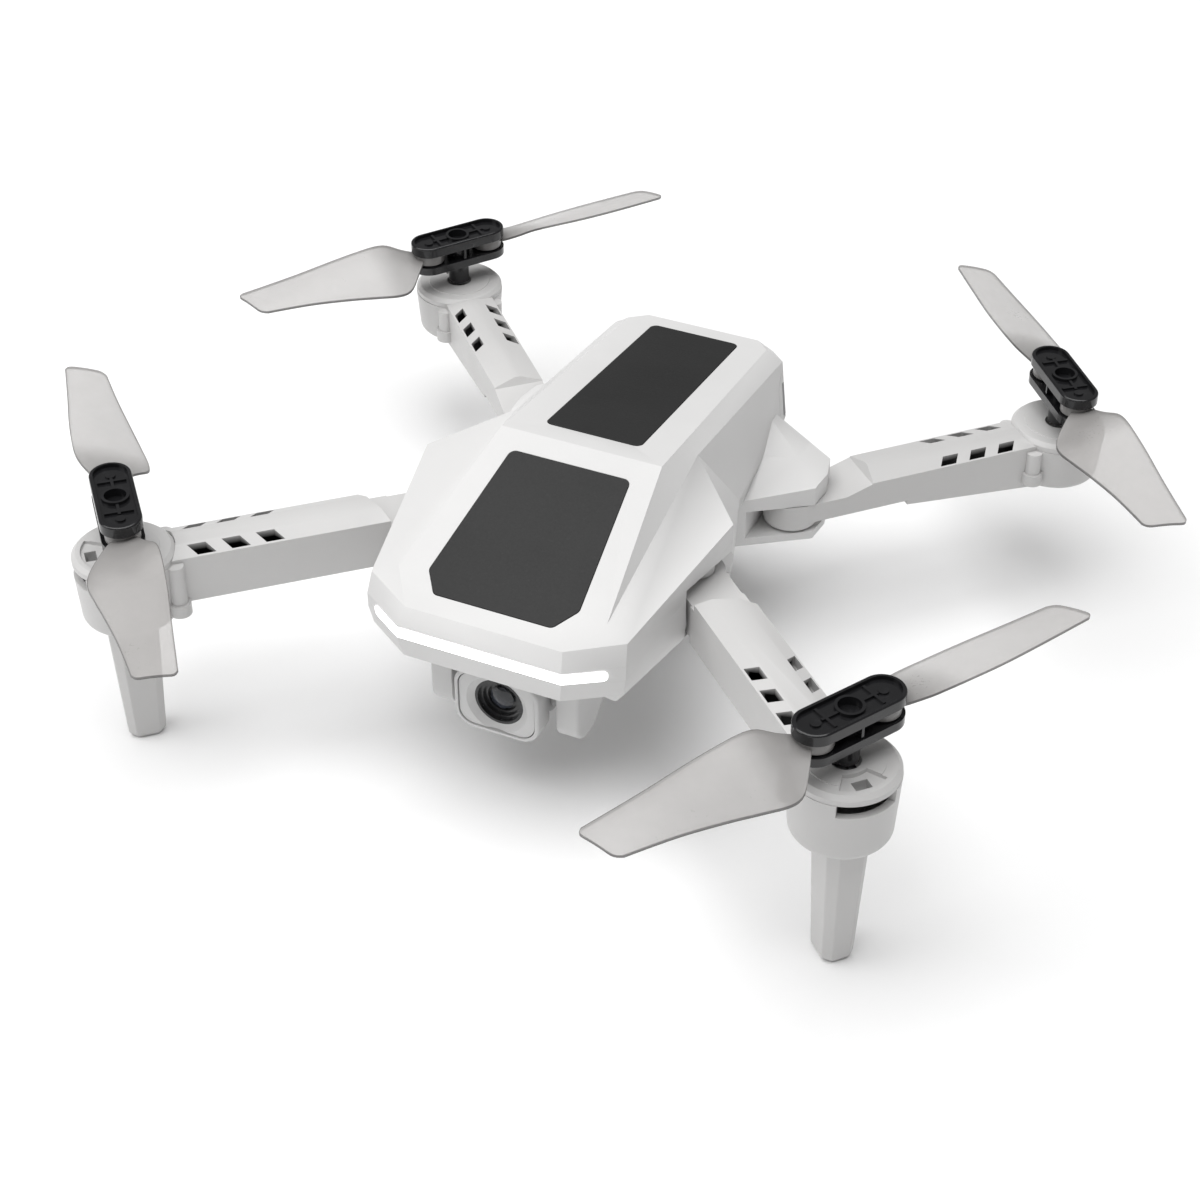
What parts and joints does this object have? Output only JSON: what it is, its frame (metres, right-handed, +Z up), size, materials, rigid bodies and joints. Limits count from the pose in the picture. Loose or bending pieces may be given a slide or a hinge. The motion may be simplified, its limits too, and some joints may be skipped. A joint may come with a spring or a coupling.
{
  "type": "quadcopter drone",
  "caption": "Folding camera quadcopter with a faceted shell, dark top panels, a nose light bar, a tilting camera and folding two-blade rotors.",
  "frame": {"origin": "on the surface it stands on, midway between the left and right hinge pins", "axes": "+Z up, -Y towards the nose and the camera, X across the body; X = 0 is the plane of symmetry of the body and arms"},
  "size_m": [0.2694, 0.2827, 0.0721],
  "materials": {
    "shell_white": "satin off-white moulded plastic",
    "bezel_grey": "satin light grey",
    "panel_dark": "fine matte dark grey",
    "panel_black": "fine matte near black",
    "light_lens": "diffusing lens, lit white",
    "board_green": "solder mask",
    "steel": "turned steel",
    "motor_metal": "drawn can",
    "button_grey": "soft grey",
    "lens_black": "gloss black",
    "lens_glass": "coated dark glass",
    "hub_black": "gloss black",
    "blade_grey": "translucent warm grey film"
  },
  "bodies": {
    "body": {"top_cover": "shell_white", "bottom_cover": "shell_white", "front_panel": "panel_dark", "rear_panel": "panel_black", "light_bar": "light_lens", "circuit_board": "board_green", "body_screws": "steel", "hinge_pins": "steel", "tail_skid": "shell_white", "camera_yoke": "shell_white"},
    "power_button": {"power_button": "button_grey"},
    "camera": {"camera_housing": "shell_white", "camera_bezel": "bezel_grey", "camera_lens_ring": "lens_black", "camera_lens_glass": "lens_glass"},
    "battery": {"battery_case": "shell_white"},
    "battery_latch_left": {"battery_latch_left": "shell_white"},
    "battery_latch_right": {"battery_latch_right": "shell_white"},
    "front_right_arm": {"front_right_arm": "shell_white", "front_right_cap": "shell_white", "front_right_motor": "motor_metal", "front_right_screws": "steel", "front_right_leg": "shell_white"},
    "front_right_rotor": {"front_right_shaft": "steel", "front_right_hub_base": "hub_black", "front_right_hub_top": "hub_black", "front_right_hub_pins": "hub_black"},
    "front_right_blade_a": {"front_right_blade_a": "blade_grey"},
    "front_right_blade_b": {"front_right_blade_b": "blade_grey"},
    "front_left_arm": {"front_left_arm": "shell_white", "front_left_cap": "shell_white", "front_left_motor": "motor_metal", "front_left_screws": "steel", "front_left_leg": "shell_white"},
    "front_left_rotor": {"front_left_shaft": "steel", "front_left_hub_base": "hub_black", "front_left_hub_top": "hub_black", "front_left_hub_pins": "hub_black"},
    "front_left_blade_a": {"front_left_blade_a": "blade_grey"},
    "front_left_blade_b": {"front_left_blade_b": "blade_grey"},
    "rear_right_arm": {"rear_right_arm": "shell_white", "rear_right_cap": "shell_white", "rear_right_motor": "motor_metal", "rear_right_screws": "steel"},
    "rear_right_rotor": {"rear_right_shaft": "steel", "rear_right_hub_base": "hub_black", "rear_right_hub_top": "hub_black", "rear_right_hub_pins": "hub_black"},
    "rear_right_blade_a": {"rear_right_blade_a": "blade_grey"},
    "rear_right_blade_b": {"rear_right_blade_b": "blade_grey"},
    "rear_left_arm": {"rear_left_arm": "shell_white", "rear_left_cap": "shell_white", "rear_left_motor": "motor_metal", "rear_left_screws": "steel"},
    "rear_left_rotor": {"rear_left_shaft": "steel", "rear_left_hub_base": "hub_black", "rear_left_hub_top": "hub_black", "rear_left_hub_pins": "hub_black"},
    "rear_left_blade_a": {"rear_left_blade_a": "blade_grey"},
    "rear_left_blade_b": {"rear_left_blade_b": "blade_grey"}
  },
  "joints": [
    {"name": "camera_tilt", "type": "hinge", "parent": "body", "child": "camera", "pos_m": [0, -0.058, 0.0272], "axis": [1, 0, 0], "range_deg": [-5, 50]},
    {"name": "battery_slide", "type": "slide", "parent": "body", "child": "battery", "axis": [0, 1, 0], "range_m": [0, 0.052]},
    {"name": "battery_latch_left_press", "type": "slide", "parent": "battery", "child": "battery_latch_left", "axis": [1, 0, 0], "range_m": [0, 0.0012], "stiffness_N_per_m": 400},
    {"name": "battery_latch_right_press", "type": "slide", "parent": "battery", "child": "battery_latch_right", "axis": [-1, 0, 0], "range_m": [0, 0.0012], "stiffness_N_per_m": 400},
    {"name": "power_button_press", "type": "slide", "parent": "body", "child": "power_button", "axis": [0, 0, 1], "range_m": [0, 0.0008], "stiffness_N_per_m": 500},
    {"name": "front_right_arm_fold", "type": "hinge", "parent": "body", "child": "front_right_arm", "pos_m": [0.033, -0.03, 0.048], "axis": [0, 0, 1], "range_deg": [0, 90]},
    {"name": "front_right_rotor_spin", "type": "hinge", "parent": "front_right_arm", "child": "front_right_rotor", "pos_m": [0.09005, -0.0832, 0.0618], "axis": [0, 0, 1], "continuous": true},
    {"name": "front_right_blade_a_fold", "type": "hinge", "parent": "front_right_rotor", "child": "front_right_blade_a", "pos_m": [0.09453, -0.07528, 0.0657], "axis": [0, 0, 1], "range_deg": [-100, 100]},
    {"name": "front_right_blade_b_fold", "type": "hinge", "parent": "front_right_rotor", "child": "front_right_blade_b", "pos_m": [0.08557, -0.09112, 0.0657], "axis": [0, 0, 1], "range_deg": [-100, 100]},
    {"name": "front_left_arm_fold", "type": "hinge", "parent": "body", "child": "front_left_arm", "pos_m": [-0.033, -0.03, 0.048], "axis": [0, 0, -1], "range_deg": [0, 90]},
    {"name": "front_left_rotor_spin", "type": "hinge", "parent": "front_left_arm", "child": "front_left_rotor", "pos_m": [-0.09005, -0.0832, 0.0618], "axis": [0, 0, 1], "continuous": true},
    {"name": "front_left_blade_a_fold", "type": "hinge", "parent": "front_left_rotor", "child": "front_left_blade_a", "pos_m": [-0.09607, -0.07638, 0.0657], "axis": [0, 0, 1], "range_deg": [-100, 100]},
    {"name": "front_left_blade_b_fold", "type": "hinge", "parent": "front_left_rotor", "child": "front_left_blade_b", "pos_m": [-0.08402, -0.09001, 0.0657], "axis": [0, 0, 1], "range_deg": [-100, 100]},
    {"name": "rear_right_arm_fold", "type": "hinge", "parent": "body", "child": "rear_right_arm", "pos_m": [0.0355, 0.0277, 0.0346], "axis": [0, 0, 1], "range_deg": [-60, 0]},
    {"name": "rear_right_rotor_spin", "type": "hinge", "parent": "rear_right_arm", "child": "rear_right_rotor", "pos_m": [0.0888, 0.0832, 0.0484], "axis": [0, 0, 1], "continuous": true},
    {"name": "rear_right_blade_a_fold", "type": "hinge", "parent": "rear_right_rotor", "child": "rear_right_blade_a", "pos_m": [0.08307, 0.09027, 0.0523], "axis": [0, 0, 1], "range_deg": [-100, 100]},
    {"name": "rear_right_blade_b_fold", "type": "hinge", "parent": "rear_right_rotor", "child": "rear_right_blade_b", "pos_m": [0.09453, 0.07613, 0.0523], "axis": [0, 0, 1], "range_deg": [-100, 100]},
    {"name": "rear_left_arm_fold", "type": "hinge", "parent": "body", "child": "rear_left_arm", "pos_m": [-0.0355, 0.0277, 0.0346], "axis": [0, 0, -1], "range_deg": [-60, 0]},
    {"name": "rear_left_rotor_spin", "type": "hinge", "parent": "rear_left_arm", "child": "rear_left_rotor", "pos_m": [-0.0888, 0.0832, 0.0484], "axis": [0, 0, 1], "continuous": true},
    {"name": "rear_left_blade_a_fold", "type": "hinge", "parent": "rear_left_rotor", "child": "rear_left_blade_a", "pos_m": [-0.08358, 0.09066, 0.0523], "axis": [0, 0, 1], "range_deg": [-100, 100]},
    {"name": "rear_left_blade_b_fold", "type": "hinge", "parent": "rear_left_rotor", "child": "rear_left_blade_b", "pos_m": [-0.09402, 0.07575, 0.0523], "axis": [0, 0, 1], "range_deg": [-100, 100]}
  ]
}
